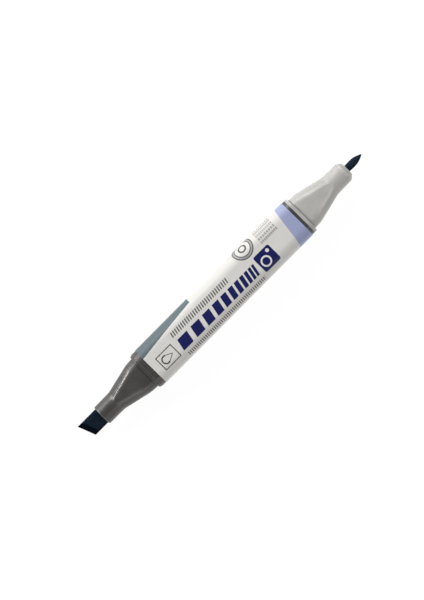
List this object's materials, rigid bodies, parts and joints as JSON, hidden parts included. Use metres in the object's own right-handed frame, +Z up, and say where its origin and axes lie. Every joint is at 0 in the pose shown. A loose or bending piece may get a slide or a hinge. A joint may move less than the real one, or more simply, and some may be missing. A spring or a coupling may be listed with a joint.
{
  "type": "felt tip marker",
  "caption": "Twin-tip alcohol marker without caps: square barrel with rounded corners, broad chisel nib at one end and fine bullet nib at the other.",
  "frame": {"origin": "below the middle of the overall length, on the surface that the marker lies on", "axes": "+X along the barrel towards the fine nib, +Z up out of the flat side that carries the main print, +Y across the barrel"},
  "size_m": [0.1322, 0.015, 0.015],
  "materials": {
    "dark_plastic": "dark warm grey moulded plastic, satin",
    "light_plastic": "light grey moulded plastic, satin",
    "label_film": "off-white printed film, soft gloss",
    "nib_fibre": "bonded polyester fibre soaked in dark blue-grey ink",
    "reservoir_fibre": "bundled polyester fibre soaked in ink",
    "clear_film": "thin clear film"
  },
  "bodies": {
    "body": {"barrel": "dark_plastic", "label_wrap": "label_film", "broad_front": "dark_plastic", "fine_front": "light_plastic", "ink_reservoir": "reservoir_fibre", "reservoir_film": "clear_film"},
    "broad_nib": {"broad_nib": "nib_fibre"},
    "fine_nib": {"fine_nib": "nib_fibre"}
  },
  "joints": [
    {"name": "broad_nib_pull", "type": "slide", "parent": "body", "child": "broad_nib", "axis": [-1, 0, 0], "range_m": [0, 0.035]},
    {"name": "fine_nib_pull", "type": "slide", "parent": "body", "child": "fine_nib", "axis": [1, 0, 0], "range_m": [0, 0.036]}
  ]
}
